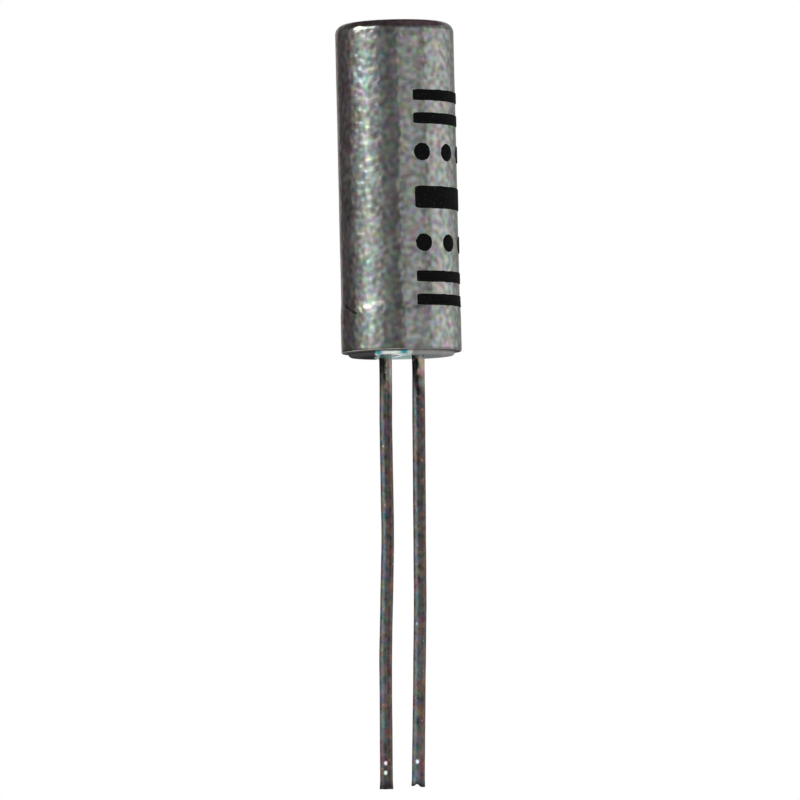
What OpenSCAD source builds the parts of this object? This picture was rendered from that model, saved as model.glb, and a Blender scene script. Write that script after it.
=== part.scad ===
// Quartz crystal unit in a round metal can, with two wire leads.
// A tuning fork of quartz stands on two posts inside a sealed can. Glass in a metal ring
// closes the can and carries the posts, which leave it below as the leads.
// Frame: the middle of the ring's lower face is the origin, +Z runs up the can's axis, and
// both leads stand on the X axis. Millimetres.

/* [Can] */
// Outer diameter of the can
can_d = 2.97; // [2.8:0.01:3.4]
// Length of the can from its open rim to the outside of its head
can_len = 8.25; // [8:0.05:9.5]
// Thickness of the side wall
can_wall = 0.17; // [0.12:0.01:0.2]
// Thickness of the head
head_t = 0.2; // [0.15:0.01:0.28]
// Outer radius of the shoulder between the side and the head
shoulder_r = 0.25; // [0.25:0.01:0.6]
// Rounding of the outer edge of the open rim
rim_edge_r = 0.04; // [0.02:0.01:0.08]
// How far the side swells over the ring that is pressed into it
swell = 0.02; // [0.005:0.005:0.04]
// Height above the ring over which the swell dies out
swell_fade = 0.4; // [0.2:0.1:1]

/* [Ring and glass] */
// Height of the metal ring
ring_h = 1; // [0.8:0.1:1.4]
// Radial thickness of the ring
ring_wall = 0.32; // [0.24:0.02:0.4]
// How far the ring stands out below the can's rim
ring_proud = 0.1; // [0.06:0.02:0.2]
// Rounding of the ring's lower outer edge
ring_edge_r = 0.05; // [0.03:0.01:0.08]
// Lead-in chamfer on the ring's upper outer edge
ring_chamfer = 0.12; // [0.05:0.01:0.2]
// Distance that the glass lies back from each end of the ring
glass_recess = 0.05; // [0.02:0.01:0.1]

/* [Leads] */
// Diameter of the coated wire
lead_d = 0.32; // [0.26:0.02:0.4]
// Distance between the two wires where they leave the glass
lead_pitch = 1.1; // [1:0.05:1.2]
// Straight runs of the left wire below the ring, one above each bend
left_runs = [0.1, 1, 2.3, 2.4]; // [0.1:0.1:4]
// Bends of the left wire in degrees, positive towards +X
left_bends = [-1.6, 1.2, -2.8, 2]; // [-4:0.2:4]
// Radius of the left wire's bends, to the middle of the wire
left_bend_r = 15; // [8:1:30]
// Straight run from the left wire's last bend to its cut end
left_tip = 3; // [1.5:0.05:5]
// Straight runs of the right wire below the ring, one above each bend
right_runs = [0.2, 5.5]; // [0.1:0.1:6]
// Bends of the right wire in degrees, positive towards +X
right_bends = [-1.2, -1.4]; // [-4:0.2:4]
// Radius of the right wire's bends, to the middle of the wire
right_bend_r = 15; // [8:1:30]
// Straight run from the right wire's last bend to its cut end
right_tip = 4.35; // [1.5:0.05:6]
// Height of the posts inside the can, above the ring
post_h = 1.2; // [0.9:0.1:1.5]
// Length of the flat pressed on each post
flat_len = 0.75; // [0.5:0.05:0.8]
// Depth of that flat, from the outside of the wire
flat_depth = 0.16; // [0.1:0.02:0.18]

/* [Tuning fork] */
// Length of each prong from the foot of the slot
prong_len = 3.9; // [3.4:0.1:4.2]
// Width of each prong
prong_w = 0.6; // [0.5:0.05:0.7]
// Width of the slot between the prongs
slot_w = 0.3; // [0.2:0.05:0.4]
// Length of the base below the slot
fork_base = 2.1; // [1.7:0.1:2.2]
// Thickness of the quartz
fork_t = 0.34; // [0.25:0.01:0.45]
// Chamfer on the lower corners of the base
fork_chamfer = 0.15; // [0.05:0.05:0.25]

/* [Solder joints] */
// Radius of the drop of solder on each post
solder_r = 0.3; // [0.25:0.01:0.32]

/* [Ink] */
// Thickness of the printed film
ink_t = 0.02; // [0.01:0.005:0.03]
// Direction that the print faces, in degrees from +X towards +Y
ink_angle = 8; // [-180:1:180]
// Height of the print's lowest line above the can's rim
ink_start = 1.1; // [0.8:0.1:1.6]
// Width of the print, measured around the can
ink_w = 2.05; // [1.5:0.05:2.6]
// Distance from one mark to the next, along the can
ink_pitch = 1.13; // [1:0.01:1.2]
// Height of one mark, along the can
ink_mark_h = 0.86; // [0.7:0.02:0.94]
// Width of a thin printed bar
ink_bar = 0.28; // [0.15:0.01:0.34]
// Width of a broad printed bar
ink_block = 0.56; // [0.35:0.01:0.7]
// Diameter of a printed dot
ink_dot = 0.44; // [0.25:0.01:0.5]

/* [Hidden] */
$fn = 96;

// How far a cutter runs past the surface that it opens
past = 0.5;

// How far a straight run of wire starts inside the bend above it, so that the two join
seam = 0.001;

// Radii around the can's axis, from the outside inwards
can_r = can_d / 2;
bore_r = can_r - can_wall;
ring_r = bore_r + swell;
rim_r = ring_r + can_wall;
glass_r = ring_r - ring_wall;

// Heights above the ring's lower face
rim_z = ring_proud;
head_z = rim_z + can_len;
ceiling_z = head_z - head_t;
post_z = ring_h + post_h;
flat_z = post_z - flat_len;
joint_z = post_z - flat_len / 2;

// The fork lies with its back on the flats
flat_y = lead_d / 2 - flat_depth;
fork_w = 2 * prong_w + slot_w;
fork_len = fork_base + prong_len;
joint_x = (lead_pitch + fork_w) / 4;

// The marks of the print, from the rim upwards
INK_MARKS = ["bars", "dots", "block", "dots", "bars"];
dots_per_mark = 3;

// Removes the corner at the origin from a flat shape that lies left of it and below it
module corner_cutter(r) {
    difference() {
        translate([-r, -r]) square(2 * r);
        translate([-r, -r]) circle(r);
    }
}

// Half section of everything inside a cup's skin, from its mouth at rim_z up to top_z
module cup_section(side_r, mouth_r, top_z, corner_r) {
    difference() {
        union() {
            translate([0, rim_z]) square([side_r, top_z - rim_z]);
            polygon([[0, rim_z], [mouth_r, rim_z], [mouth_r, ring_h],
                     [side_r, ring_h + swell_fade], [0, ring_h + swell_fade]]);
        }
        translate([side_r, top_z]) corner_cutter(corner_r);
    }
}

// Round wire from the origin down: straight runs with bends between them in the XZ plane,
// and a straight tip below the last bend
module bent_wire(runs, bends, bend_r, tip, i = 0) {
    run = i < len(runs) ? runs[i] : tip;
    translate([0, 0, -run]) {
        cylinder(d = lead_d, h = run);
        if (i < len(runs)) {
            turn = bends[i];
            side = turn < 0 ? -1 : 1;
            rotate([0, 0, side < 0 ? 180 : 0])
                translate([bend_r, 0, 0])
                    rotate([90, 0, 0])
                        rotate_extrude(angle = abs(turn), start = 180)
                            translate([bend_r, 0]) circle(d = lead_d);
            translate([side * bend_r * (1 - cos(turn)), 0, -bend_r * sin(abs(turn))])
                rotate([0, -turn, 0])
                    translate([0, 0, seam]) bent_wire(runs, bends, bend_r, tip, i + 1);
        }
    }
}

// Straight post from the ring's lower face upwards, with a flat at its top
module post(x) {
    translate([x, 0, 0])
        difference() {
            cylinder(d = lead_d, h = post_z);
            translate([-lead_d, flat_y, flat_z]) cube([2 * lead_d, lead_d, flat_len + past]);
        }
}

// Whole lead: a post, and the bent wire below it
module lead(x, runs, bends, bend_r, tip) {
    post(x);
    translate([x, 0, 0]) bent_wire(runs, bends, bend_r, tip);
}

module fork_body() {
    translate([0, flat_y + fork_t, flat_z])
        rotate([90, 0, 0])
            linear_extrude(fork_t)
                difference() {
                    polygon([[-fork_w / 2 + fork_chamfer, 0], [fork_w / 2 - fork_chamfer, 0],
                             [fork_w / 2, fork_chamfer], [fork_w / 2, fork_len],
                             [-fork_w / 2, fork_len], [-fork_w / 2, fork_chamfer]]);
                    translate([0, fork_base + slot_w / 2]) circle(d = slot_w);
                    translate([-slot_w / 2, fork_base + slot_w / 2])
                        square([slot_w, prong_len + past]);
                }
}

// Drop of solder that wraps one post and the edge of the fork
module solder_joint(side) {
    difference() {
        translate([side * joint_x, flat_y, joint_z]) sphere(solder_r);
        fork_body();
        post(side * lead_pitch / 2);
    }
}

// Patch of film on the can's side, around the height z and the middle of the print
module ink_patch(arc_w, patch_h, z) {
    sweep = arc_w / can_r * 180 / PI;
    rotate_extrude(angle = sweep, start = ink_angle - sweep / 2)
        intersection() {
            difference() {
                cup_section(can_r + ink_t, rim_r + ink_t, head_z, shoulder_r);
                cup_section(can_r, rim_r, head_z, shoulder_r);
            }
            translate([0, z - patch_h / 2]) square([can_d, patch_h]);
        }
}

// Round dot of film, offset around the can from the middle of the print
module ink_spot(offset, z) {
    intersection() {
        ink_patch(ink_w + ink_dot, 2 * ink_dot, z);
        translate([0, 0, z])
            rotate([0, 90, ink_angle + offset / can_r * 180 / PI])
                cylinder(d = ink_dot, h = can_d);
    }
}

module ink_mark(kind, z) {
    if (kind == "bars")
        for (side = [-1, 1]) ink_patch(ink_w, ink_bar, z + side * (ink_mark_h - ink_bar) / 2);
    if (kind == "block") ink_patch(ink_w, ink_block, z);
    if (kind == "dots")
        for (i = [0:dots_per_mark - 1])
            ink_spot((ink_w - ink_dot) * (i / (dots_per_mark - 1) - 0.5), z);
}

module can() {
    color("#9a9a98")
        rotate_extrude()
            difference() {
                cup_section(can_r, rim_r, head_z, shoulder_r);
                cup_section(bore_r, ring_r, ceiling_z, shoulder_r - can_wall);
                translate([rim_r, rim_z]) mirror([0, 1]) corner_cutter(rim_edge_r);
            }
}

module stem_ring() {
    color("#c4c4c4")
        rotate_extrude()
            difference() {
                polygon([[glass_r, 0], [ring_r, 0], [ring_r, ring_h - ring_chamfer],
                         [ring_r - ring_chamfer, ring_h], [glass_r, ring_h]]);
                translate([ring_r, 0]) mirror([0, 1]) corner_cutter(ring_edge_r);
            }
}

module glass_seal() {
    color("#27302c")
        difference() {
            translate([0, 0, glass_recess]) cylinder(r = glass_r, h = ring_h - 2 * glass_recess);
            for (side = [-1, 1])
                translate([side * lead_pitch / 2, 0, -past])
                    cylinder(d = lead_d, h = ring_h + 2 * past);
        }
}

module lead_left() {
    color("#75716d") lead(-lead_pitch / 2, left_runs, left_bends, left_bend_r, left_tip);
}

module lead_right() {
    color("#75716d") lead(lead_pitch / 2, right_runs, right_bends, right_bend_r, right_tip);
}

module tuning_fork() {
    color("#dfe6ea") fork_body();
}

module solder_joint_left() {
    color("#b4b4b8") solder_joint(-1);
}

module solder_joint_right() {
    color("#b4b4b8") solder_joint(1);
}

module ink_marks() {
    color("#141414")
        for (i = [0:len(INK_MARKS) - 1])
            ink_mark(INK_MARKS[i], rim_z + ink_start + ink_mark_h / 2 + i * ink_pitch);
}

can();
stem_ring();
glass_seal();
lead_left();
lead_right();
tuning_fork();
solder_joint_left();
solder_joint_right();
ink_marks();
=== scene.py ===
"""Looks of a quartz crystal in a round drawn metal can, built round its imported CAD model.

Lengths in the constants and in the shape functions are millimetres; new_piece() turns them
into the frame's metres. The can's axis is Z, and the origin is the ring's lower face.
"""
import math

import bmesh
import bpy
from mathutils import Matrix, Vector, noise


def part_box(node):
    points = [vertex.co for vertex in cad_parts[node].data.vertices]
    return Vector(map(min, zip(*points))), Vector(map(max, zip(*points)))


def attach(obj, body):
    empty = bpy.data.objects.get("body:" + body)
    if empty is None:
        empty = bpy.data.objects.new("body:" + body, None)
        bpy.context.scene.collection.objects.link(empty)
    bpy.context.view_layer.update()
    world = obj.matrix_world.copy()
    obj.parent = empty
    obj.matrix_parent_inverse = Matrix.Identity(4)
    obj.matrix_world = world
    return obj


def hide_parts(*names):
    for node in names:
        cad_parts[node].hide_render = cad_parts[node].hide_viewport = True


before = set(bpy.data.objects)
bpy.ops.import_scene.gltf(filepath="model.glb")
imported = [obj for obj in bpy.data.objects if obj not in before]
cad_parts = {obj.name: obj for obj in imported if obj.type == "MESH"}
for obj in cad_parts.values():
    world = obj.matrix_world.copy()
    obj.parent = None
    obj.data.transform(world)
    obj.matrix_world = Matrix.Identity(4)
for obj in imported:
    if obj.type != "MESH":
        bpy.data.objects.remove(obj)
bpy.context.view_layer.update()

MM = 0.001


def node_mm(node):
    """Lowest and highest corner of a CAD node, in millimetres."""
    low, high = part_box(node)
    return low / MM, high / MM


# ---------------------------------------------------------------- sizes from the frame

CAN_LOW, CAN_HIGH = node_mm("can")
_, RING_HIGH = node_mm("stem_ring")
GLASS_LOW, GLASS_HIGH = node_mm("glass_seal")
LEFT_LOW, LEFT_HIGH = node_mm("lead_left")
RIGHT_LOW, _ = node_mm("lead_right")

WIRE_END_Z = min(LEFT_LOW.z, RIGHT_LOW.z)
RIM_Z = CAN_LOW.z
HEAD_Z = CAN_HIGH.z
RIM_R = CAN_HIGH.x
RING_R = RING_HIGH.x
RING_H = RING_HIGH.z
GLASS_R = GLASS_HIGH.x
POST_Z = LEFT_HIGH.z

# ---------------------------------------------------------------- sizes of the details

CAN_WALL = 0.17
SWELL = 0.02
SWELL_FADE = 0.4
HEAD_T = 0.2
SHOULDER_R = 0.25
RIM_EDGE_R = 0.04
CAN_R = RIM_R - SWELL
# Hollows from handling and lines from drawing: width and height of the unevenness
DENT_W, DENT_H = 1.3, 0.004
DRAWN_LINE_W, DRAWN_LINE_H = 0.35, 0.0012

RING_EDGE_R = 0.09
RING_CHAMFER = 0.12
# How high the glass climbs where it wets metal, and how far from it that dies out
MENISCUS = 0.06
MENISCUS_REACH = 0.07

LEAD_R = 0.16
LEAD_PITCH = 1.1
FLAT_LEN = 0.75
LEFT_RUNS = [0.1, 1, 2.3, 2.4]
LEFT_BENDS = [-1.6, 1.2, -2.8, 2]
LEFT_BEND_R = 15
LEFT_TIP = 3
RIGHT_RUNS = [0.2, 5.5]
RIGHT_BENDS = [-1.2, -1.4]
RIGHT_BEND_R = 15
RIGHT_TIP = 4.35

# The wires' surface: fine pits, and waves along the wire
PIT_W, PIT_H = 0.2, 0.002
WAVE_W, WAVE_H = 0.9, 0.005
# The cut ends: how far they are squeezed wider, over what length, how far the shape of the
# cut reaches up the wire, and how far its outer edge is drawn back
TIP_FLARE = 0.01
TIP_FLARE_LEN = 0.18
CUT_LEN = 0.2
CUT_BACK = 0.012
TIP_RINGS = (1, 0.96, 0.88, 0.75, 0.6, 0.45, 0.3, 0.15)
# The square cut's ribs, and the pinched cut's groove and lip: height, place and width
RIB_H, RIB_RATE = 0.006, 40
GROOVE_H, GROOVE_AT, GROOVE_W = 0.055, -0.03, 0.05
LIP_H, LIP_FROM, LIP_W = 0.02, 0.02, 0.05
# Nicks of the cutter's jaws: distances from the cut end, depth, length and turn in radians
LEFT_NICKS = (0.65, 0.40)
RIGHT_NICKS = (0.62,)
NICK_DEPTH = 0.008
NICK_LEN = 0.035
NICK_TURN = 0.5

INK_T = 0.02
INK_ANGLE = 8
INK_START = 1.1
INK_W = 2.05
INK_PITCH = 1.13
INK_MARK_H = 0.86
INK_BAR = 0.28
INK_BLOCK = 0.56
INK_DOT = 0.44
INK_MARKS = ["bars", "dots", "block", "dots", "bars"]
DOTS_PER_MARK = 3
# Each patch of film from its middle to its edge, as (share of its size, share of its thickness)
FILM_RINGS = [(0.0, 1.0), (0.35, 1.0), (0.7, 1.0), (0.88, 1.0), (0.95, 0.8), (1.0, 0.15)]
# How far the patches' edges waver, and how quickly round the edge
INK_RAGGED, INK_RAGGED_RATE = 0.012, 3.1
INK_CORNER_POWER = 14

# Steps once round each shape
CAN_STEPS = 256
RING_STEPS = 192
GLASS_STEPS = 96
WIRE_STEPS = 48
FILM_STEPS = 96
FLOOR_STEPS = 64
SURROUND_STEPS = 240

# The camera stands as the photographer did: a little below the can, on its front right
VIEW_AZIMUTH = 42
VIEW_ELEVATION = -3
VIEW_ROLL = 1.32
VIEW_DISTANCE = 175
VIEW_TARGET_Z = -1.082
VIEW_TARGET_SIDE = -0.0685
VIEW_FIELD = 20
SENSOR = 36

FLOOR_Z = WIRE_END_Z - 3.5
FLOOR_RINGS = [20, 60, 150, 300, 450]
FLOOR_FADE_R = 160
SURROUND_LOW = FLOOR_Z + 0.5
SURROUND_R = 400
SURROUND_HIGH = 500
AMBIENT = 0.6


# ---------------------------------------------------------------- mesh helpers

def new_piece(name, verts, faces, material, smooth_below=40):
    """Mesh object from points in millimetres, with its normals outward and soft shading."""
    mesh = bpy.data.meshes.new(name)
    mesh.from_pydata([Vector(v) * MM for v in verts], [], faces)
    work = bmesh.new()
    work.from_mesh(mesh)
    bmesh.ops.remove_doubles(work, verts=work.verts, dist=1e-9)
    bmesh.ops.recalc_face_normals(work, faces=work.faces)
    for face in work.faces:
        face.smooth = True
    for edge in work.edges:
        if len(edge.link_faces) == 2:
            edge.smooth = edge.calc_face_angle() < math.radians(smooth_below)
    work.to_mesh(mesh)
    work.free()
    mesh.materials.append(material)
    piece = bpy.data.objects.new(name, mesh)
    bpy.context.scene.collection.objects.link(piece)
    return piece


def dress(piece, slot, *nodes):
    """Ties a finished piece to the part's body and hides its CAD nodes; slot is not used."""
    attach(piece, "root")
    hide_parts(*nodes)


def arc(centre, radius, start, end, steps):
    """Points of an arc in a half section; angles in degrees from the outward direction."""
    angles = [math.radians(start + (end - start) * i / steps) for i in range(steps + 1)]
    return [(centre[0] + radius * math.cos(a), centre[1] + radius * math.sin(a)) for a in angles]


def run(start, end, step):
    """Points strictly between start and end, about step apart."""
    count = max(1, round(math.dist(start, end) / step))
    return [tuple(s + (e - s) * i / count for s, e in zip(start, end)) for i in range(1, count)]


def lathe(profile, segments, offset):
    """Points and faces of a half section turned round Z.

    The profile runs once round the section. A point on the axis is one vertex, and a profile
    that isn't closed on the axis is closed from its last point to its first.
    offset(x, y, z) is how far a point moves outward from the axis.
    """
    verts, rows = [], []
    for radius, z in profile:
        if radius == 0:
            rows.append([len(verts)])
            verts.append((0, 0, z))
            continue
        row = []
        for i in range(segments):
            angle = 2 * math.pi * i / segments
            x, y = radius * math.cos(angle), radius * math.sin(angle)
            grown = 1 + offset(x, y, z) / radius
            row.append(len(verts))
            verts.append((x * grown, y * grown, z))
        rows.append(row)
    if profile[0][0] > 0:
        rows.append(rows[0])
    faces = []
    for upper, lower in zip(rows, rows[1:]):
        for i in range(segments):
            j = (i + 1) % segments
            quad = [upper[i % len(upper)], upper[j % len(upper)],
                    lower[j % len(lower)], lower[i % len(lower)]]
            faces.append(list(dict.fromkeys(quad)))
    return verts, faces


def ripple(x, y, z, size, height, seed=0.0):
    """Smooth noise between -height and height, with hollows and bumps about size wide."""
    return height * noise.noise(Vector((x, y, z)) / size + Vector((seed, -seed, 2 * seed)))


# ---------------------------------------------------------------- shader helpers

class Shader:
    """One procedural material. Most methods add a node and give back its output."""

    def __init__(self, name, **values):
        self.material = bpy.data.materials.new(name)
        self.material.use_nodes = True
        self.nodes = self.material.node_tree.nodes
        self.links = self.material.node_tree.links
        self.surface = self.nodes["Principled BSDF"]
        self.place = self.nodes.new("ShaderNodeTexCoord").outputs["Object"]
        for socket, value in values.items():
            self.surface.inputs[socket.replace("_", " ")].default_value = value

    def feed(self, socket, value):
        """Sets a socket to a number or colour, or links another node's output to it."""
        if isinstance(value, bpy.types.NodeSocket):
            self.links.new(value, socket)
        else:
            socket.default_value = value

    def finish_with(self, socket, value):
        """Feeds the socket of that name on the surface's own shader."""
        self.feed(self.surface.inputs[socket], value)

    def stretched(self, x, y, z):
        """The object's own coordinates in metres, scaled along each axis."""
        node = self.nodes.new("ShaderNodeMapping")
        node.inputs["Scale"].default_value = (x, y, z)
        self.links.new(self.place, node.inputs["Vector"])
        return node.outputs["Vector"]

    def moved(self, seed):
        """The object's own coordinates moved to another place of the noise."""
        node = self.nodes.new("ShaderNodeMapping")
        node.inputs["Location"].default_value = (seed, -seed, 2 * seed)
        self.links.new(self.place, node.inputs["Vector"])
        return node.outputs["Vector"]

    def above(self, low, high):
        """0 below height low and 1 above height high in millimetres, or the other way round."""
        node = self.nodes.new("ShaderNodeSeparateXYZ")
        self.links.new(self.place, node.inputs[0])
        return self.remap(node.outputs["Z"], low * MM, high * MM, 0, 1)

    def tinted(self, level, tints, strength):
        """Grey of the given level, with each channel made a little stronger or weaker."""
        node = self.nodes.new("ShaderNodeVectorMath")
        node.operation = "MULTIPLY_ADD"
        self.links.new(tints, node.inputs[0])
        node.inputs[1].default_value = [strength] * 3
        node.inputs[2].default_value = [1 - strength / 2] * 3
        scaled = self.nodes.new("ShaderNodeVectorMath")
        scaled.operation = "SCALE"
        self.links.new(node.outputs[0], scaled.inputs[0])
        self.feed(scaled.inputs["Scale"], level)
        return scaled.outputs[0]

    def noise(self, size, detail=2.0, rough=0.5, where=None, output="Fac"):
        """Noise with blobs about size millimetres wide."""
        node = self.nodes.new("ShaderNodeTexNoise")
        node.inputs["Scale"].default_value = 1 / (size * MM)
        node.inputs["Detail"].default_value = detail
        node.inputs["Roughness"].default_value = rough
        self.links.new(where or self.place, node.inputs["Vector"])
        return node.outputs[output]

    def math(self, operation, first, second=0.0, third=0.0):
        """One sum with numbers."""
        node = self.nodes.new("ShaderNodeMath")
        node.operation = operation
        for socket, value in zip(node.inputs, (first, second, third)):
            self.feed(socket, value)
        return node.outputs[0]

    def remap(self, value, low, high, out_low, out_high):
        """value from low..high to out_low..out_high, clamped at both ends."""
        node = self.nodes.new("ShaderNodeMapRange")
        for socket, number in zip(node.inputs, (value, low, high, out_low, out_high)):
            self.feed(socket, number)
        return node.outputs["Result"]

    def mix(self, share, first, second):
        """Colour between first and second."""
        node = self.nodes.new("ShaderNodeMix")
        node.data_type = "RGBA"
        self.feed(node.inputs[0], share)
        self.feed(node.inputs[6], first)
        self.feed(node.inputs[7], second)
        return node.outputs[2]

    def bump(self, height, depth):
        """Fine relief: height 0..1 stands for 0..depth millimetres."""
        node = self.nodes.new("ShaderNodeBump")
        node.inputs["Distance"].default_value = depth * MM
        self.links.new(height, node.inputs["Height"])
        self.finish_with("Normal", node.outputs["Normal"])

    def near_line(self, start, end, width):
        """1 on the line between two points in millimetres, falling to 0 at width from it."""
        start, end = Vector(start) * MM, Vector(end) * MM
        along = end - start
        offset = self.vector("SUBTRACT", self.place, start)
        share = self.vector("DOT_PRODUCT", offset, along)
        share = self.remap(self.math("DIVIDE", share, along.length_squared), 0, 1, 0, 1)
        foot = self.nodes.new("ShaderNodeVectorMath")
        foot.operation = "SCALE"
        foot.inputs[0].default_value = along
        self.links.new(share, foot.inputs["Scale"])
        gap = self.vector("DISTANCE", offset, foot.outputs[0])
        return self.remap(gap, 0, width * MM, 1, 0)

    def facing(self, azimuth):
        """1 where the surface faces an azimuth (degrees from +X towards +Y), -1 opposite it."""
        turn = math.radians(azimuth)
        normal = self.nodes.new("ShaderNodeTexCoord").outputs["Normal"]
        return self.vector("DOT_PRODUCT", normal, (math.cos(turn), math.sin(turn), 0))

    def vector(self, operation, first, second):
        """One sum with vectors."""
        node = self.nodes.new("ShaderNodeVectorMath")
        node.operation = operation
        self.feed(node.inputs[0], first)
        self.feed(node.inputs[1], second)
        return node.outputs["Value" if operation in ("DOT_PRODUCT", "DISTANCE") else "Vector"]


# ---------------------------------------------------------------- materials

# Scratches on the can's side: both ends as (angle, height), and the width
SCRATCHES = [((-115, 1.27), (-96.5, 1.05), 0.055), ((150, 3.1), (162, 3.6), 0.03),
             ((95, 6.0), (88, 5.2), 0.02), ((200, 2.0), (206, 3.1), 0.02)]
# Where painted shade fades in at the base, dark on the camera's left and grey on its right, in
# millimetres to the camera's right of the axis
DARK_SHADE_SPAN = (-0.60, -0.68)
GREY_SHADE_SPAN = (0.20, 0.30)
# Smears of glass on the ring: place to the camera's right, height of the lower end, width
GLASS_SMEARS = [(-0.58, 0.0, 0.18), (0.07, 0.05, 0.19)]
# The wires: direction that their side painted darker and browner as shade faces, in degrees from
# +X towards +Y, and heights between which the painted shade and highlight by the glass and the
# dark of the left cut end fade in
SHADED_SIDE_FACING = 42
GLASS_SHADE_AND_SHEEN_Z = (-1.1, -0.3)
DARK_CUT_Z = (-10.58, -10.70)
# Painted shade down the right wire, a dark streak: both ends as on_wire() takes them, and the
# width
SHADE_STREAK = ((0.55, -0.05, -0.13), (0.53, -0.95, 0.0), 0.09)
# Browned end of the left wire: both ends of its middle line, and the width
BROWNED = ((-0.82, 0, -9.9), (-0.82, 0, -10.9), 0.5)
# Painted glints on the cutter's nicks near the wires' ends, bright spots that are not metal, as
# (x, height, colour)
NICK_GLINTS = [(-0.825, -10.14, (0.62, 0.53, 0.62, 1)), (-0.835, -10.38, (0.5, 0.62, 0.6, 1)),
         (0.24, -10.12, (0.45, 0.57, 0.74, 1))]
# The gold film on the prongs: middle and half width of its band, and its upper end
GOLD_MIDDLE, GOLD_HALF_W, GOLD_TOP = 0.45, 0.2, 7.1


def on_can(angle, z):
    """Point on the can's side; angle in degrees from +X towards +Y."""
    turn = math.radians(angle)
    return CAN_R * math.cos(turn), CAN_R * math.sin(turn), z


def can_metal():
    """Nickel-silver sheet, tumbled after drawing: dimpled, blotchy, with faint tints.

    Its flat head is duller than its side. Its cut rim and a band just above it are painted dark,
    as shade in the gap over the ring.
    """
    s = Shader("can_metal", Specular_IOR_Level=0)
    dimples = s.noise(0.14, 0)
    blotches = s.noise(0.15, 0, where=s.moved(3))
    patches = s.noise(0.9, 2, where=s.moved(7))
    level = s.remap(blotches, 0.15, 0.85, 0.27, 0.65)
    level = s.math("MULTIPLY", level, s.remap(patches, 0.3, 0.7, 0.93, 1.06))
    colour = s.tinted(level, s.noise(0.17, 0, where=s.moved(11), output="Color"), 0.65)
    marks = 0.0
    for start, end, width in SCRATCHES:
        line = s.near_line(on_can(*start), on_can(*end), width)
        marks = s.math("MAXIMUM", marks, s.remap(line, 0, 0.6, 0, 1))
    # Painted shade at the can's foot: the cut rim and a band just above it are darkened where the
    # gap over the ring lies in shade. The marks are real scratches.
    rim_gap_shade = s.above(RIM_Z + 0.085, RIM_Z + 0.035)
    rim = s.above(RIM_Z + 0.03, RIM_Z + 0.012)
    scratches_and_rim_shade = s.math("MAXIMUM", rim, s.math("MAXIMUM", marks, s.math("MULTIPLY", rim_gap_shade, 0.5)))
    s.finish_with("Base Color", s.mix(scratches_and_rim_shade, colour, (0.06, 0.055, 0.055, 1)))
    head = s.above(HEAD_Z - 0.02, HEAD_Z - 0.004)
    s.finish_with("Metallic", s.math("SUBTRACT", s.remap(head, 0, 1, 1, 0.65), rim))
    roughness = s.remap(patches, 0.3, 0.7, 0.18, 0.26)
    s.finish_with("Roughness", s.math("MULTIPLY_ADD", head, 0.2, roughness))
    s.bump(s.math("MULTIPLY_ADD", marks, -0.5, dimples), 0.009)
    return s.material


def side_shade_shares(s):
    """Shares of the painted dark and the painted grey shade on either side of the wires."""
    right = view_axes()[0]
    side = s.vector("DOT_PRODUCT", s.place, (right.x, right.y, 0))
    side = s.math("MULTIPLY_ADD", s.math("SUBTRACT", s.noise(0.12, 2), 0.5), 0.3 * MM, side)
    return [s.remap(side, start * MM, full * MM, 0, 1) for start, full in (DARK_SHADE_SPAN, GREY_SHADE_SPAN)]


def ring_plating():
    """Bright solder plate, a little lumpy, with smears of the sealing glass on its near edge, and
    painted dark and grey shade on the camera's left and right.
    """
    s = Shader("ring_plating", Specular_IOR_Level=0)
    lumps = s.noise(0.25, 1)
    level = s.remap(lumps, 0.3, 0.7, 0.70, 0.92)
    colour = s.tinted(level, s.noise(0.2, 1.5, 0.5, s.moved(5), "Color"), 0.4)
    right, _, back = view_axes()
    for side, low, width in GLASS_SMEARS:
        place = right * side + back * math.sqrt(RING_R ** 2 - side ** 2)
        smear = s.near_line((place.x, place.y, RIM_Z), (place.x, place.y, low), width)
        colour = s.mix(s.remap(smear, 0, 0.8, 0, 1), colour, (0.05, 0.30, 0.36, 1))
    # Painted shade: dark on the camera's left of the wires and grey on its right, where the plate
    # is not metal.
    dark, grey = side_shade_shares(s)
    colour = s.mix(dark, colour, (0.035, 0.033, 0.035, 1))
    colour = s.mix(grey, colour, s.mix(lumps, (0.12, 0.12, 0.12, 1), (0.24, 0.23, 0.22, 1)))
    s.finish_with("Base Color", colour)
    s.finish_with("Metallic", s.math("SUBTRACT", 1.0, s.math("MAXIMUM", dark, grey)))
    s.finish_with("Roughness", s.remap(lumps, 0.3, 0.7, 0.18, 0.34))
    s.bump(lumps, 0.006)
    return s.material


def seal_glass():
    """Blue-green sealing glass with fine bubbles, painted dark and grey as shade on the camera's
    left and right, with no gloss there.
    """
    s = Shader("seal_glass", IOR=1.55)
    bubbles = s.noise(0.05, 2, 0.6)
    # Painted shade: dark on the camera's left of the wires and grey on its right, where the glass
    # has no gloss.
    dark, grey = side_shade_shares(s)
    colour = s.mix(s.remap(bubbles, 0.4, 0.75, 0, 1),
                   (0.02, 0.09, 0.11, 1), (0.07, 0.24, 0.28, 1))
    colour = s.mix(dark, colour, (0.02, 0.022, 0.024, 1))
    s.finish_with("Base Color", s.mix(grey, colour, (0.12, 0.14, 0.14, 1)))
    s.finish_with("Specular IOR Level", s.remap(s.math("MAXIMUM", dark, grey), 0, 1, 0.9, 0))
    s.finish_with("Roughness", s.remap(bubbles, 0.4, 0.8, 0.04, 0.12))
    s.bump(bubbles, 0.002)
    return s.material


def on_wire(x, z, side):
    """Point on the front of a wire whose middle is at x; side is to the camera's right."""
    right, _, back = view_axes()
    return Vector((x, 0, z)) + right * side + back * math.sqrt(LEAD_R ** 2 - side ** 2)


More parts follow.
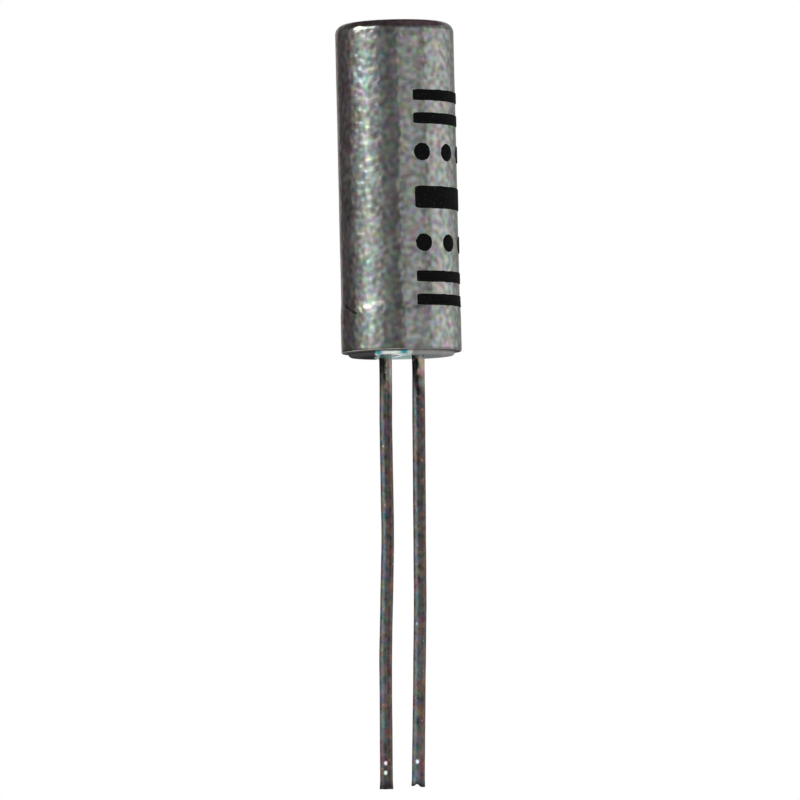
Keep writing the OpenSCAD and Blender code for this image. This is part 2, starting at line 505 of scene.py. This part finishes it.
def lead_wire():
    """Solder-coated wire, dulled and browned by handling, with painted shade and highlights: one
    side darker, a dark and a bright half beside the glass, a dark streak, and bright specks and
    glints.
    """
    s = Shader("lead_wire", Metallic=1.0)
    blotches = s.noise(0.11, 1, where=s.stretched(1, 1, 0.7))
    tints = s.noise(0.16, 0.5, where=s.stretched(1, 1, 0.7), output="Color")
    hue = s.mix(s.remap(s.noise(0.17, 1, where=s.moved(13)), 0.38, 0.62, 0, 1),
                (0.85, 1.03, 1.17, 1), (1.35, 0.96, 0.89, 1))
    start, end, width = SHADE_STREAK
    shade_streak = s.remap(s.near_line(on_wire(*start), on_wire(*end), width), 0.1, 0.7, 0, 0.9)
    browned = s.near_line(*BROWNED)
    # Painted highlights: rare bright specks on the wires stand for glints.
    specks = s.remap(s.noise(0.1, 0, where=s.moved(9)), 0.79, 0.88, 0, 0.8)
    # Painted shade and highlight: each wire is darker and browner on one side and painted lighter
    # at the opposite edge.
    side = s.facing(SHADED_SIDE_FACING)
    side = s.math("MULTIPLY_ADD", s.math("SUBTRACT", blotches, 0.5), 1.2, side)
    grey = s.mix(s.remap(side, -0.2, 0.4, 0, 1), (0.155, 0.178, 0.19, 1), (0.15, 0.115, 0.11, 1))
    grey = s.mix(s.remap(side, -0.5, -1.0, 0, 1), grey, (0.42, 0.38, 0.36, 1))
    # Painted shade and highlight by the glass: the top of each wire is dark on one half and
    # bright on the other.
    shade_and_sheen_by_glass = s.mix(s.remap(side, -0.3, 0.15, 0, 1), (0.03, 0.03, 0.035, 1), (0.44, 0.41, 0.37, 1))
    grey = s.mix(s.above(*GLASS_SHADE_AND_SHEEN_Z), grey, shade_and_sheen_by_glass)
    # Painted shade: a dark streak down the right wire.
    grey = s.mix(shade_streak, grey, (0.03, 0.025, 0.03, 1))
    grey = s.mix(s.math("MULTIPLY", browned, 0.6), grey, (0.085, 0.062, 0.06, 1))
    grey = s.mix(s.above(*DARK_CUT_Z), grey, (0.05, 0.045, 0.05, 1))
    grey = s.mix(specks, grey, (0.5, 0.52, 0.52, 1))
    level = s.remap(blotches, 0.25, 0.75, 0.55, 1.45)
    colour = s.vector("MULTIPLY", s.vector("MULTIPLY", grey, hue), s.tinted(level, tints, 1.0))
    # Painted highlights on the cutter's nicks: bright spots that are not metal stand for glints,
    # so they stay bright under any light.
    nicks = 0.0
    for x, z, tint in NICK_GLINTS:
        front = on_wire(x, z, -0.02)
        nick_glint = s.remap(s.near_line(front, front + Vector((0, 0, 0.02)), 0.06), 0, 0.7, 0, 1)
        colour = s.mix(nick_glint, colour, tint)
        nicks = s.math("MAXIMUM", nicks, nick_glint)
    s.finish_with("Base Color", colour)
    s.finish_with("Metallic", s.math("SUBTRACT", 1.0, nicks))
    s.finish_with("Roughness", s.remap(blotches, 0.3, 0.7, 0.30, 0.45))
    s.bump(blotches, 0.008)
    return s.material


def print_ink():
    """Black marking ink, worn thin in specks so that a little metal grey comes through."""
    s = Shader("print_ink", Specular_IOR_Level=0.05)
    specks = s.noise(0.06, 3, 0.6)
    s.finish_with("Base Color", s.mix(s.remap(specks, 0.6, 0.75, 0, 1),
                                      (0.002, 0.002, 0.0022, 1), (0.02, 0.02, 0.02, 1)))
    s.finish_with("Roughness", s.remap(specks, 0.3, 0.7, 0.5, 0.75))
    s.bump(specks, 0.004)
    return s.material


def quartz():
    """Clear quartz with a gold film along each prong, down to its foot."""
    s = Shader("quartz", IOR=1.54, Roughness=0.08)
    place = s.nodes.new("ShaderNodeSeparateXYZ")
    s.links.new(s.place, place.inputs[0])
    frost = s.noise(0.2, 2, 0.5)
    from_middle = s.math("ABSOLUTE", s.math("DIVIDE", place.outputs["X"], MM))
    height = s.math("DIVIDE", place.outputs["Z"], MM)
    in_band = s.math("COMPARE", from_middle, GOLD_MIDDLE, GOLD_HALF_W)
    film = s.math("MULTIPLY", in_band, s.math("LESS_THAN", height, GOLD_TOP))
    bare = s.mix(frost, (0.80, 0.84, 0.87, 1), (0.9, 0.93, 0.95, 1))
    s.finish_with("Base Color", s.mix(film, bare, (0.83, 0.62, 0.28, 1)))
    s.finish_with("Metallic", film)
    s.bump(frost, 0.002)
    return s.material


def joint_solder():
    """Soft solder, dull where it froze last."""
    s = Shader("joint_solder", Metallic=1.0)
    crust = s.noise(0.08, 3, 0.6)
    s.finish_with("Base Color", s.mix(crust, (0.50, 0.50, 0.52, 1), (0.72, 0.72, 0.74, 1)))
    s.finish_with("Roughness", s.remap(crust, 0.3, 0.7, 0.2, 0.45))
    s.bump(crust, 0.01)
    return s.material


# ---------------------------------------------------------------- pieces

def side_radius(z):
    """Outer radius of the can's side, which swells over the ring pressed into its mouth."""
    share = min(1, max(0, (RING_H + SWELL_FADE - z) / SWELL_FADE))
    return CAN_R + SWELL * share * share * (3 - 2 * share)


def can_profile():
    """Half section of the can: out across the head, down the side, and back up the bore."""
    shoulder = (CAN_R - SHOULDER_R, HEAD_Z - SHOULDER_R)
    ceiling = HEAD_Z - HEAD_T
    inner_r = SHOULDER_R - CAN_WALL
    bore = CAN_R - CAN_WALL
    inner = (bore - inner_r, ceiling - inner_r)
    points = [(0, HEAD_Z)] + run((0, HEAD_Z), (shoulder[0], HEAD_Z), 0.08)
    points += arc(shoulder, SHOULDER_R, 90, 0, 20)
    side = run((0, shoulder[1]), (0, RIM_Z + RIM_EDGE_R), 0.05)
    points += [(side_radius(z), z) for _, z in side]
    points += arc((RIM_R - RIM_EDGE_R, RIM_Z + RIM_EDGE_R), RIM_EDGE_R, 0, -90, 5)
    points += [(RING_R, RIM_Z), (RING_R, RING_H), (bore, RING_H + SWELL_FADE)]
    points += arc(inner, inner_r, 0, 90, 8)
    return points + [(0, ceiling)]


def build_can(material):
    """The drawn can, with slight hollows in its side from drawing and handling."""
    def uneven(x, y, z):
        outside = math.hypot(x, y) > CAN_R - CAN_WALL / 2
        if not outside or z < RIM_Z + RIM_EDGE_R:
            return 0
        drawn = ripple(x, y, z / 6, DRAWN_LINE_W, DRAWN_LINE_H, seed=3.1)
        return ripple(x, y, z, DENT_W, DENT_H) + drawn
    verts, faces = lathe(can_profile(), CAN_STEPS, uneven)
    dress(new_piece("can_shell", verts, faces, material), "can_metal", "can")


def build_ring(material):
    """The eyelet that plugs the can, with a rounded lower edge and a lead-in chamfer."""
    profile = arc((RING_R - RING_EDGE_R, RING_EDGE_R), RING_EDGE_R, 0, -90, 6)
    profile += run((RING_R - RING_EDGE_R, 0), (GLASS_R, 0), 0.05)
    profile += [(GLASS_R, 0), (GLASS_R, RING_H), (RING_R - RING_CHAMFER, RING_H),
                (RING_R, RING_H - RING_CHAMFER)]
    verts, faces = lathe(profile, RING_STEPS, lambda x, y, z: 0)
    dress(new_piece("eyelet_ring", verts, faces, material), "plated_ring", "stem_ring")


def build_glass(material):
    """Glass bead round two wires, drawn up a little where it wets the ring and the wires."""
    verts, faces = [], []
    work = bmesh.new()

    def circle(x, radius):
        for i in range(GLASS_STEPS):
            a = 2 * math.pi * i / GLASS_STEPS
            yield work.verts.new((x + radius * math.cos(a), radius * math.sin(a), 0))

    def meniscus(x, y):
        to_ring = GLASS_R - math.hypot(x, y)
        to_wire = min(math.hypot(x - s * LEAD_PITCH / 2, y) for s in (-1, 1)) - LEAD_R
        gap = max(0, min(to_ring, to_wire))
        return MENISCUS * math.exp(-gap / MENISCUS_REACH)

    loops = [list(circle(-LEAD_PITCH / 2, LEAD_R)), list(circle(LEAD_PITCH / 2, LEAD_R)),
             list(circle(0, GLASS_R))]
    edges = [work.edges.new((loop[i], loop[(i + 1) % GLASS_STEPS]))
             for loop in loops for i in range(GLASS_STEPS)]
    bmesh.ops.triangle_fill(work, use_beauty=True, edges=edges)
    bmesh.ops.subdivide_edges(work, edges=work.edges[:], cuts=2, use_grid_fill=True)
    bmesh.ops.triangulate(work, faces=work.faces[:])
    work.verts.ensure_lookup_table()
    work.verts.index_update()
    count = len(work.verts)
    for z, side in ((GLASS_LOW.z, -1), (GLASS_HIGH.z, 1)):
        for v in work.verts:
            lift = side * min(meniscus(v.co.x, v.co.y), abs(z - (0 if side < 0 else RING_H)))
            verts.append((v.co.x, v.co.y, z + lift))
    for f in work.faces:
        face = [v.index for v in f.verts]
        faces.append(face)
        faces.append([i + count for i in reversed(face)])
    for e in work.edges:
        if len(e.link_faces) == 1:
            a, b = e.verts[0].index, e.verts[1].index
            faces.append([a, b, b + count, a + count])
    work.free()
    dress(new_piece("glass_bead", verts, faces, material), "seal_glass", "glass_seal")


def lead_line(x, runs, bends, bend_r, tip, step=0.03):
    """Middle line of a bent wire from the ring's lower face down, as (x, z, heading) rows.

    The heading is in radians from straight down, positive towards +X.
    """
    z, heading = 0.0, 0.0
    rows = [(x, z, heading)]
    for i, length in enumerate(runs + [tip]):
        count = max(1, round(length / step))
        for _ in range(count):
            x += math.sin(heading) * length / count
            z -= math.cos(heading) * length / count
            rows.append((x, z, heading))
        if i == len(runs):
            return rows
        turn = math.radians(bends[i])
        count = max(2, round(bend_r * abs(turn) / step))
        chord = 2 * bend_r * math.sin(abs(turn) / count / 2)
        for _ in range(count):
            middle = heading + turn / count / 2
            x += math.sin(middle) * chord
            z -= math.cos(middle) * chord
            heading += turn / count
            rows.append((x, z, heading))


def build_lead(name, node, x, line, tip_shape, nicks, material):
    """A post with its pressed flat, and the bent wire below it down to its cut end.

    nicks are small dents that the cutter's jaws left on the front, by distance from the tip.
    """
    around = WIRE_STEPS
    far = 99.0  # from the cut end, where nothing of its shape is left
    flat_z = POST_Z - FLAT_LEN
    verts, faces = [], []
    front = math.radians(VIEW_AZIMUTH - 90)

    def dent(along, a):
        turn = math.remainder(a - front, 2 * math.pi)
        return sum(NICK_DEPTH * math.exp(-((along - n) / NICK_LEN) ** 2 - (turn / NICK_TURN) ** 2)
                   for n in nicks)

    def section(cx, z, heading, radius=LEAD_R, flat=False, cut=tip_shape(0), along=far):
        flare = TIP_FLARE * max(0, 1 - along / TIP_FLARE_LEN)
        for i in range(around):
            a = 2 * math.pi * i / around
            out = radius * (1 + (flare - dent(along, a)) / LEAD_R)
            if z < 0:
                out += ripple(LEAD_R * math.cos(a), LEAD_R * math.sin(a), z / 3, PIT_W, PIT_H, x)
                out += ripple(0, 0, z, WAVE_W, WAVE_H, x)
            across, deep = out * math.cos(a), out * math.sin(a)
            if flat:
                deep = min(deep, 0)
            down = cut(across, deep) * max(0, 1 - along / CUT_LEN) if z < 0 else 0
            verts.append((cx + across * math.cos(heading) + math.sin(heading) * down, deep,
                          z + across * math.sin(heading) - math.cos(heading) * down))

    section(x, POST_Z, 0, flat=True)
    section(x, flat_z, 0, flat=True)
    section(x, flat_z, 0)
    end_x, end_z, end_heading = line[-1]
    for px, pz, heading in line:
        section(px, pz, heading, along=math.dist((px, pz), (end_x, end_z)))
    for share in TIP_RINGS:
        section(end_x, end_z, end_heading, LEAD_R * share, cut=tip_shape(share), along=0)
    rows = len(verts) // around
    for row in range(rows - 1):
        for i in range(around):
            j = (i + 1) % around
            a, b = row * around, (row + 1) * around
            faces.append([a + i, b + i, b + j, a + j])
    faces.append(list(range(around)))
    faces.append([(rows - 1) * around + i for i in range(around)])
    dress(new_piece(name, verts, faces, material, smooth_below=50), "lead_wire", node)


def square_cut(share):
    """End of a wire nipped square, faintly ribbed, with its rim drawn back a little."""
    back = CUT_BACK if share == 1 else 0
    return lambda across, deep: -back - RIB_H * math.cos(RIB_RATE * across)


def pinched_cut(share):
    """End of a wire pinched off: a groove across it and one lip longer than the other."""
    back = CUT_BACK if share == 1 else 0
    turn = math.radians(VIEW_AZIMUTH)

    def shape(across, deep):
        s = across * math.cos(turn) + deep * math.sin(turn)
        groove = GROOVE_H * math.exp(-((s - GROOVE_AT) / GROOVE_W) ** 2)
        lip = LIP_H * min(1, max(0, (s - LIP_FROM) / LIP_W))
        return lip - groove - back
    return shape


def film(outline, middle_angle, z):
    """Points and faces of one printed patch on the can's side.

    outline(a) gives the patch's edge for a turn a, as (around the can, along it) from the
    patch's middle. The film is full thickness inside and thins away at its ragged edge.
    """
    around = FILM_STEPS
    verts, faces = [], []

    def place(across, along, lift):
        turn = math.radians(middle_angle) + across / CAN_R
        radius = side_radius(z + along) + lift
        return radius * math.cos(turn), radius * math.sin(turn), z + along

    for lift_share in (1, 0):
        for share, thickness in FILM_RINGS:
            for i in range(around if share else 1):
                across, along = outline(2 * math.pi * i / around)
                verts.append(place(across * share, along * share, INK_T * thickness * lift_share))
    half = len(verts) // 2

    def row(ring, i):
        return 0 if ring == 0 else 1 + (ring - 1) * around + i % around

    last = len(FILM_RINGS) - 1
    for base in (0, half):
        for ring in range(last):
            for i in range(around):
                quad = [row(ring, i), row(ring, i + 1), row(ring + 1, i + 1), row(ring + 1, i)]
                faces.append([base + v for v in dict.fromkeys(quad)])
    for i in range(around):
        faces.append([row(last, i), row(last, i + 1),
                      half + row(last, i + 1), half + row(last, i)])
    return verts, faces


def ragged(size, a, seed):
    """size made a little larger or smaller at the turn a, the same way each time."""
    where = Vector((INK_RAGGED_RATE * math.cos(a), INK_RAGGED_RATE * math.sin(a), seed))
    return size + INK_RAGGED * noise.noise(where)


def box_outline(width, height, seed):
    """Edge of a block with softly rounded corners and slightly uneven sides."""
    def outline(a):
        power = INK_CORNER_POWER
        c, s = math.cos(a), math.sin(a)
        reach = (abs(c) ** power + abs(s) ** power) ** (-1 / power)
        uneven = ragged(0, a * 2, seed)
        return (width / 2 + uneven) * c * reach, (height / 2 + uneven) * s * reach
    return outline


def dot_outline(diameter, seed):
    """Edge of a dot that isn't quite round."""
    def outline(a):
        radius = ragged(diameter / 2, a, seed)
        return radius * math.cos(a), radius * math.sin(a)
    return outline


def ink_patches():
    """(outline, offset around the can, height) of every printed patch."""
    for i, kind in enumerate(INK_MARKS):
        z = RIM_Z + INK_START + INK_MARK_H / 2 + i * INK_PITCH
        if kind == "bars":
            for side in (-1, 1):
                bar_z = z + side * (INK_MARK_H - INK_BAR) / 2
                yield box_outline(INK_W, INK_BAR, i + side), 0, bar_z
        if kind == "block":
            yield box_outline(INK_W, INK_BLOCK, i), 0, z
        if kind == "dots":
            for k in range(DOTS_PER_MARK):
                offset = (INK_W - INK_DOT) * (k / (DOTS_PER_MARK - 1) - 0.5)
                yield dot_outline(INK_DOT, i + 7 * k), offset, z


def build_ink(material):
    """Every printed patch, joined into one piece."""
    verts, faces = [], []
    for outline, offset, z in ink_patches():
        patch_verts, patch_faces = film(outline, INK_ANGLE + math.degrees(offset / CAN_R), z)
        faces += [[v + len(verts) for v in face] for face in patch_faces]
        verts += patch_verts
    dress(new_piece("printed_marks", verts, faces, material), "ink", "ink_marks")


def paint(node, material):
    """Gives a CAD node its material and leaves its shape alone."""
    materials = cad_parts[node].data.materials
    materials.clear()
    materials.append(material)


# ---------------------------------------------------------------- camera, light and floor

def direction(azimuth, elevation):
    """Direction from the part towards a point; azimuth in degrees from -Y towards +X."""
    turn, lift = math.radians(azimuth), math.radians(elevation)
    return Vector((math.sin(turn) * math.cos(lift), -math.cos(turn) * math.cos(lift),
                   math.sin(lift)))


def view_axes():
    """The camera's right, up and backward directions."""
    turn, roll = math.radians(VIEW_AZIMUTH), math.radians(VIEW_ROLL)
    back = direction(VIEW_AZIMUTH, VIEW_ELEVATION)
    right = Vector((math.cos(turn), math.sin(turn), 0))
    up = back.cross(right)
    return (right * math.cos(roll) - up * math.sin(roll),
            up * math.cos(roll) + right * math.sin(roll), back)


def add_camera():
    """Camera at the photographer's place, aimed a little below the can's foot."""
    data = bpy.data.cameras.new("camera")
    data.sensor_width = SENSOR
    data.lens = SENSOR * VIEW_DISTANCE / VIEW_FIELD
    data.clip_start = 0.01
    data.clip_end = 10
    camera = bpy.data.objects.new("camera", data)
    bpy.context.scene.collection.objects.link(camera)
    right, up, back = view_axes()
    spot = (right * VIEW_TARGET_SIDE + Vector((0, 0, VIEW_TARGET_Z)) + back * VIEW_DISTANCE) * MM
    turned = Matrix((right, up, back)).transposed().to_4x4()
    camera.matrix_world = Matrix.Translation(spot) @ turned
    bpy.context.scene.camera = camera


def add_world():
    """White backdrop to the camera and in reflections, and a plain soft light on everything."""
    world = bpy.data.worlds.new("studio")
    world.use_nodes = True
    bpy.context.scene.world = world
    nodes, links = world.node_tree.nodes, world.node_tree.links
    background = nodes["Background"]
    background.inputs["Color"].default_value = (1, 1, 1, 1)
    path = nodes.new("ShaderNodeLightPath")
    seen = path.outputs["Is Camera Ray"]
    for ray in ("Is Glossy Ray", "Is Transmission Ray"):
        either = nodes.new("ShaderNodeMath")
        either.operation = "MAXIMUM"
        links.new(seen, either.inputs[0])
        links.new(path.outputs[ray], either.inputs[1])
        seen = either.outputs[0]
    level = nodes.new("ShaderNodeMapRange")
    level.inputs["To Min"].default_value = AMBIENT
    level.inputs["To Max"].default_value = 1.0
    links.new(seen, level.inputs["Value"])
    links.new(level.outputs["Result"], background.inputs["Strength"])


def add_lamp(name, azimuth, elevation, distance, size, power):
    """Soft square lamp aimed at the can; azimuth in degrees to the right of the camera."""
    data = bpy.data.lights.new(name, "AREA")
    data.shape = "SQUARE"
    data.size = size * MM
    data.energy = power
    lamp = bpy.data.objects.new(name, data)
    bpy.context.scene.collection.objects.link(lamp)
    away = direction(VIEW_AZIMUTH + azimuth, elevation)
    lamp.matrix_world = (Matrix.Translation(away * distance * MM)
                         @ away.to_track_quat("Z", "Y").to_matrix().to_4x4())
    lamp.visible_glossy = False


def add_glow(name, rows):
    """Glowing sheet that only reflections see, so it puts no light or shade on anything else.

    rows hold (point, colour) pairs in millimetres; the light is smooth between them. Each
    row's last point joins its first.
    """
    material = bpy.data.materials.new(name)
    material.use_nodes = True
    tree = material.node_tree
    tree.nodes.remove(tree.nodes["Principled BSDF"])
    glow = tree.nodes.new("ShaderNodeEmission")
    attribute = tree.nodes.new("ShaderNodeAttribute")
    attribute.attribute_name = "light"
    tree.links.new(attribute.outputs["Color"], glow.inputs["Color"])
    tree.links.new(glow.outputs[0], tree.nodes["Material Output"].inputs["Surface"])
    count = len(rows[0])
    faces = []
    for row in range(len(rows) - 1):
        for i in range(count):
            j = (i + 1) % count
            a, b = row * count, (row + 1) * count
            faces.append([a + i, a + j, b + j, b + i])
    mesh = bpy.data.meshes.new(name)
    mesh.from_pydata([Vector(point) * MM for row in rows for point, _ in row], [], faces)
    light = mesh.color_attributes.new("light", "FLOAT_COLOR", "POINT")
    colours = [colour for row in rows for _, colour in row]
    for item, colour in zip(light.data, colours):
        item.color = (*colour, 1)
    mesh.materials.append(material)
    sheet = bpy.data.objects.new(name, mesh)
    bpy.context.scene.collection.objects.link(sheet)
    sheet.visible_camera = False
    sheet.visible_diffuse = False
    sheet.visible_transmission = False
    sheet.visible_shadow = False


# Brightness round the part that its metal mirrors: (degrees to the camera's right, level)
WALL = [(-180, 0.45), (-167, 0.45), (-163, 0.30), (-152, 0.30), (-148, 0.085), (-100, 0.085),
        (-96, 0.24), (-86, 0.24), (-82, 0.40), (-71, 0.40), (-68, 0.64), (-64, 0.70),
        (-62, 1.12), (-57, 1.12), (-55, 0.74), (-52, 0.46), (-38, 0.46), (-34, 0.24),
        (-17, 0.23), (-13, 0.17), (3, 0.16), (7, 0.52), (43, 0.52), (47, 0.36), (60, 0.36),
        (64, 0.79), (118, 0.79), (122, 0.50), (138, 0.50), (142, 0.28), (163, 0.28),
        (167, 0.45), (180, 0.45)]
BEHIND = [(-180, 1.3), (-172, 1.3), (-167, 0), (167, 0), (172, 1.3), (180, 1.3)]
FLOOR = [(-180, 0.95), (180, 0.95)]
HIGH_WALL = [row for row in WALL if row[0] < -36] + [
    (-34, 0.20), (-20, 0.12), (15, 0.12), (30, 0.19), (62, 0.21), (70, 0.28), (150, 0.28),
    (167, 0.45), (180, 0.45)]
HIGH_SOFTBOX = [(-180, 0), (-88, 0), (-84, 4.0), (-59, 4.0), (-56, 2.0), (-39, 2.0), (-36, 0),
                (180, 0)]
SKY = [(-180, 0.07), (20, 0.07), (40, 0.13), (140, 0.13), (160, 0.07), (180, 0.07)]

# Tint of that light: the sky's, and red and blue as shares of green for all the rest
BROWN = (1, 0.70, 0.78)
RED = [(-180, 0.97), (-150, 1.16), (-92, 1.16), (-82, 0.90), (-52, 0.90), (-40, 0.98),
       (180, 0.97)]
BLUE = [(-180, 0.95), (-150, 1.00), (-92, 1.00), (-82, 0.92), (-52, 0.92), (-40, 0.96),
        (180, 0.95)]

# The room from the middle of its floor to the middle of its ceiling: radius, height, and the
# tables that light it there, of which the brightest counts
SURROUND = [(1, SURROUND_LOW, [FLOOR]), (30, SURROUND_LOW, [FLOOR]),
            (50, SURROUND_LOW, [WALL]), (110, SURROUND_LOW, [WALL]),
            (160, SURROUND_LOW, [WALL, BEHIND]), (SURROUND_R, SURROUND_LOW, [WALL, BEHIND]),
            (SURROUND_R, 0, [WALL]), (SURROUND_R, 75, [WALL]),
            (SURROUND_R, 100, [HIGH_WALL, HIGH_SOFTBOX]),
            (SURROUND_R, 235, [HIGH_WALL, HIGH_SOFTBOX]),
            (SURROUND_R, 245, [SKY, HIGH_SOFTBOX]), (SURROUND_R, 280, [SKY, HIGH_SOFTBOX]),
            (SURROUND_R, 295, [SKY]), (SURROUND_R, SURROUND_HIGH, [SKY]),
            (1, SURROUND_HIGH, [SKY])]


def level_at(table, azimuth):
    """Value of a table at an azimuth, straight between its entries."""
    for (start, low), (end, high) in zip(table, table[1:]):
        if azimuth <= end:
            return low + (high - low) * (azimuth - start) / (end - start)
    return table[-1][1]


def add_surround():
    """Studio floor, wall and ceiling round the part, as its metal mirrors them."""
    rows = []
    for radius, z, tables in SURROUND:
        row = []
        for i in range(SURROUND_STEPS):
            azimuth = 360 * i / SURROUND_STEPS - 180
            turn = math.radians(VIEW_AZIMUTH + azimuth)
            level, brown = max((level_at(table, azimuth), table is SKY) for table in tables)
            tint = BROWN if brown else (level_at(RED, azimuth), 1, level_at(BLUE, azimuth))
            colour = [level * part for part in tint]
            row.append(((radius * math.sin(turn), -radius * math.cos(turn), z), colour))
        rows.append(row)
    add_glow("surround", rows)


def add_floor():
    """Pale floor under the held part. It keeps the part's shadow and is white further out."""
    count = FLOOR_STEPS
    verts = [(0, 0, FLOOR_Z)]
    for radius in FLOOR_RINGS:
        verts += [(radius * math.cos(a), radius * math.sin(a), FLOOR_Z)
                  for a in (2 * math.pi * i / count for i in range(count))]
    faces = [[0, 1 + i, 1 + (i + 1) % count] for i in range(count)]
    for ring in range(len(FLOOR_RINGS) - 1):
        a, b = 1 + ring * count, 1 + (ring + 1) * count
        faces += [[a + i, b + i, b + (i + 1) % count, a + (i + 1) % count]
                  for i in range(count)]
    s = Shader("pale_floor", Roughness=0.9, Specular_IOR_Level=0.1)
    s.finish_with("Base Color", s.mix(s.noise(8, 3, 0.5),
                                      (0.86, 0.86, 0.86, 1), (0.90, 0.90, 0.90, 1)))
    glow = s.nodes.new("ShaderNodeEmission")
    path = s.nodes.new("ShaderNodeLightPath")
    blend = s.nodes.new("ShaderNodeMixShader")
    seen = s.math("MAXIMUM", path.outputs["Is Camera Ray"], path.outputs["Is Glossy Ray"])
    outward = s.near_line((0, 0, FLOOR_Z), (0, 0, FLOOR_Z - 1), FLOOR_FADE_R)
    outward = s.remap(outward, 0, 0.7, 1.0, 0.5)
    s.links.new(s.math("MULTIPLY", seen, outward), blend.inputs[0])
    s.links.new(s.surface.outputs[0], blend.inputs[1])
    s.links.new(glow.outputs[0], blend.inputs[2])
    s.links.new(blend.outputs[0], s.nodes["Material Output"].inputs["Surface"])
    floor = new_piece("floor", verts, faces, s.material)


# ---------------------------------------------------------------- the scene

add_camera()
add_world()
add_lamp("key_lamp", azimuth=-60, elevation=25, distance=420, size=250, power=3.0)
add_lamp("fill_lamp", azimuth=75, elevation=15, distance=420, size=300, power=1.6)
add_surround()
add_floor()

build_can(can_metal())
build_ring(ring_plating())
build_glass(seal_glass())
wire = lead_wire()
build_lead("lead_wire_left", "lead_left", -LEAD_PITCH / 2,
           lead_line(-LEAD_PITCH / 2, LEFT_RUNS, LEFT_BENDS, LEFT_BEND_R, LEFT_TIP),
           square_cut, LEFT_NICKS, wire)
build_lead("lead_wire_right", "lead_right", LEAD_PITCH / 2,
           lead_line(LEAD_PITCH / 2, RIGHT_RUNS, RIGHT_BENDS, RIGHT_BEND_R, RIGHT_TIP),
           pinched_cut, RIGHT_NICKS, wire)
build_ink(print_ink())

paint("tuning_fork", quartz())
solder = joint_solder()
for node in ("solder_joint_left", "solder_joint_right"):
    paint(node, solder)

bpy.context.scene.view_settings.view_transform = "Standard"
